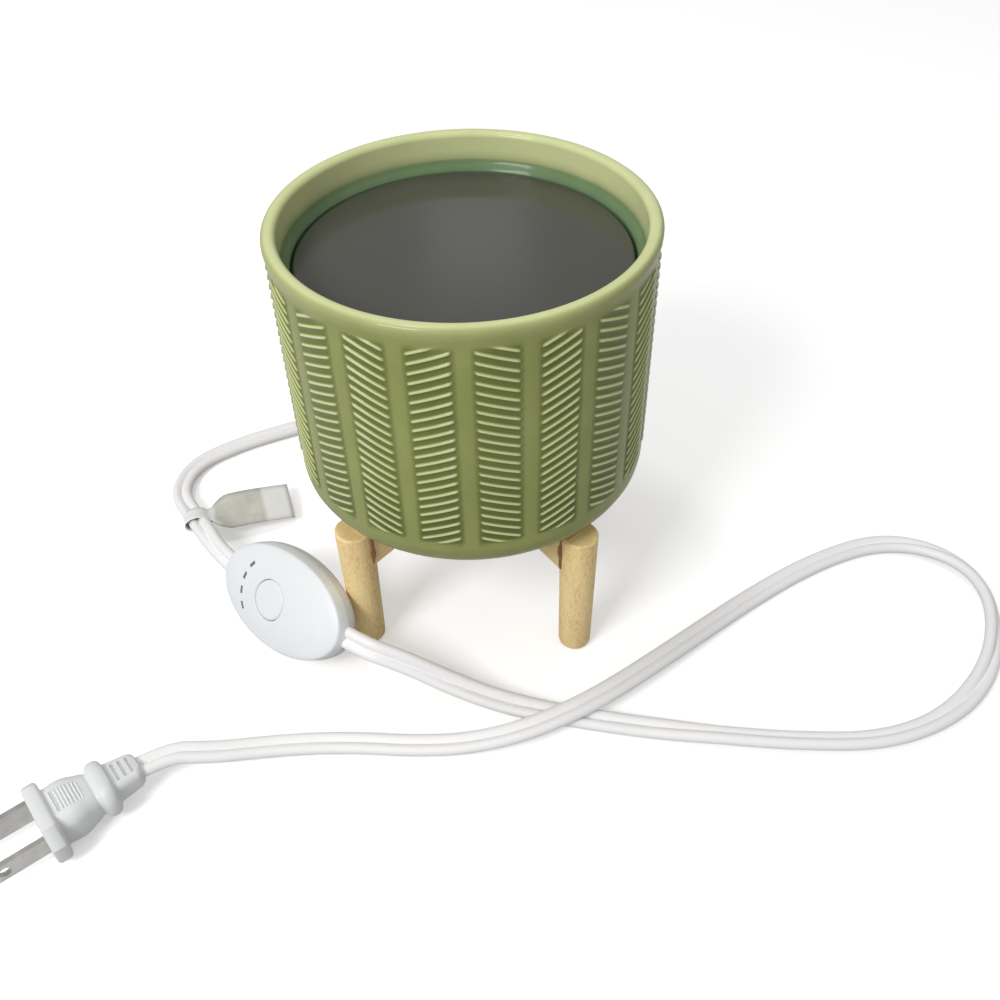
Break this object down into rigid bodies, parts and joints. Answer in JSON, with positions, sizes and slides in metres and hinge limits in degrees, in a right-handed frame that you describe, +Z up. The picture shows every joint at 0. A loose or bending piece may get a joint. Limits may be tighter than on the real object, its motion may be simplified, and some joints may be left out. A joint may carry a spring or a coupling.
{
  "type": "candle warmer plate",
  "caption": "Candle warmer plate: green glazed ribbed pot with a dark hot plate sunk in its mouth, on a pegged wooden stand, with a flat white cord, inline timer control and two-blade plug",
  "frame": {"origin": "the pot's axis at the surface the legs stand on", "axes": "+Z up, -Y towards the viewer who sees two legs in front, +X to the right"},
  "size_m": [0.295, 0.2343, 0.13],
  "materials": {
    "wood": "fine pale birch-like grain, thin clear finish",
    "glazed_clay": "olive green glossy glaze, paler yellow-green on ribs and rim",
    "plate_metal": "dark warm grey satin coating with fine specks",
    "zinc_steel": "zinc plated steel, fine brushed",
    "heater_metal": "plain aluminium",
    "silicone": "brick red silicone, matt",
    "insulation": "off-white fibre board, matt",
    "dark_plastic": "black moulded plastic, matt",
    "white_plastic": "white moulded plastic, soft sheen",
    "cord_jacket": "white soft vinyl, soft sheen",
    "wire_jacket": "red heat-proof sleeve, soft sheen",
    "clear_plastic": "clear plastic light guide",
    "board": "green circuit board",
    "part_resin": "amber capacitor resin",
    "label_paper": "pale grey coated paper",
    "blade_metal": "bright nickel plate"
  },
  "bodies": {
    "warmer": {"leg_front_right": "wood", "leg_rear_right": "wood", "leg_rear_left": "wood", "leg_front_left": "wood", "cross_bar_lower": "wood", "cross_bar_upper": "wood", "leg_dowels": "wood", "pot_shell": "glazed_clay", "warming_plate": "plate_metal", "plate_gasket": "silicone", "heater_element": "heater_metal", "insulation_disc": "insulation", "clamp_plate": "zinc_steel", "clamp_washer": "zinc_steel", "clamp_nut": "zinc_steel", "tie_rod": "zinc_steel", "base_cover": "dark_plastic", "stand_washer": "zinc_steel", "stand_nut": "zinc_steel", "cord_outlet": "white_plastic", "outlet_lock_ring": "dark_plastic", "supply_tail": "cord_jacket", "supply_cores": "cord_jacket", "crimp_caps": "white_plastic", "thermostat": "dark_plastic", "thermal_fuse": "zinc_steel", "fuse_clip": "zinc_steel", "clamp_screws": "zinc_steel", "heater_lead": "wire_jacket", "thermostat_lead": "wire_jacket", "fuse_lead": "wire_jacket", "fuse_tail": "wire_jacket", "controller_top_shell": "white_plastic", "controller_base_shell": "white_plastic", "tact_switch": "dark_plastic", "light_windows": "clear_plastic", "light_chips": "white_plastic", "circuit_board": "board", "film_capacitor": "part_resin", "triac": "dark_plastic", "timer_chip": "dark_plastic", "cord_clamps": "white_plastic", "board_wires": "cord_jacket", "controller_screws": "zinc_steel", "cord_pot_to_controller": "cord_jacket", "cord_controller_to_plug": "cord_jacket", "cord_tag": "label_paper", "plug_body": "white_plastic", "plug_blade_narrow": "blade_metal", "plug_blade_wide": "blade_metal"},
    "button": {"control_button": "white_plastic", "switch_plunger": "dark_plastic"}
  },
  "joints": [
    {"name": "button_press", "type": "slide", "parent": "warmer", "child": "button", "axis": [0.5431, 0.6258, -0.5599], "range_m": [0, 0.0006], "stiffness_N_per_m": 1500}
  ]
}
